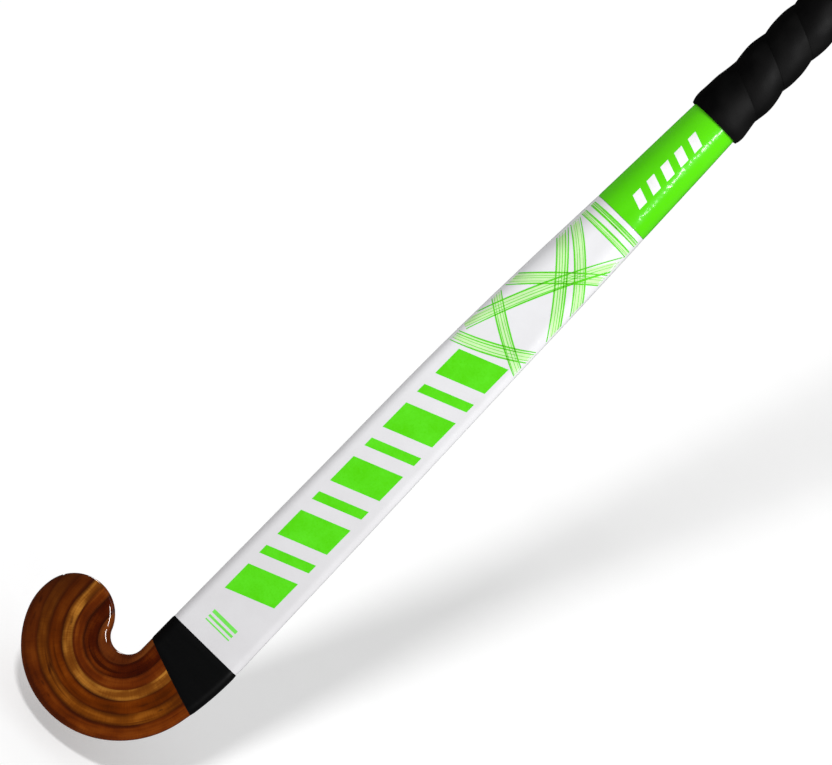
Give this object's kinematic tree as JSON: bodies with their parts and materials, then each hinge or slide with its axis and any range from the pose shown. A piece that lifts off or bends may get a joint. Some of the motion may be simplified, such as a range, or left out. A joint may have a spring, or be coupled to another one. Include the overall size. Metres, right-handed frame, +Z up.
{
  "type": "field hockey stick",
  "caption": "Laminated wood field hockey stick with a J-shaped head, black neck band, printed shaft sleeves and a spiral cushion grip.",
  "frame": {"origin": "middle of the stick's footprint on the ground: level with the lowest point of the head, midway between the outermost points of the hook and of the heel edge; the handle's centre line runs up at x = 30.5 mm", "axes": "+Z up along the handle, flat playing face looks along -Y, toe of the head points along -X"},
  "size_m": [0.1121, 0.0341, 0.927],
  "materials": {
    "light_wood": "gloss lacquer",
    "dark_wood": "gloss lacquer",
    "brown_wood": "gloss lacquer",
    "golden_wood": "gloss lacquer",
    "cane": "raw cane",
    "strip_rubber": "matte",
    "glass_fibre": "resin-set woven glass",
    "band_black": "satin",
    "foil_white": "satin printed film",
    "foil_green": "gloss printed film",
    "underwrap": "thin woven tape",
    "grip_black": "soft matte cushion",
    "tape_black": "satin tape",
    "cap_black": "matte"
  },
  "bodies": {
    "root": {"head_lamina_1": "light_wood", "head_lamina_2": "dark_wood", "head_lamina_3": "brown_wood", "head_lamina_4": "golden_wood", "head_lamina_5": "brown_wood", "head_lamina_6": "light_wood", "head_lamina_7": "brown_wood", "handle_slat_face": "cane", "handle_slat_middle": "cane", "handle_slat_back": "cane", "handle_rubber_face": "strip_rubber", "handle_rubber_back": "strip_rubber", "glass_fibre_sleeve": "glass_fibre", "neck_band": "band_black", "white_sleeve": "foil_white", "green_sleeve": "foil_green", "grip_underwrap": "underwrap", "cushion_grip": "grip_black", "grip_finish_tape": "tape_black", "butt_cap": "cap_black"}
  },
  "joints": []
}
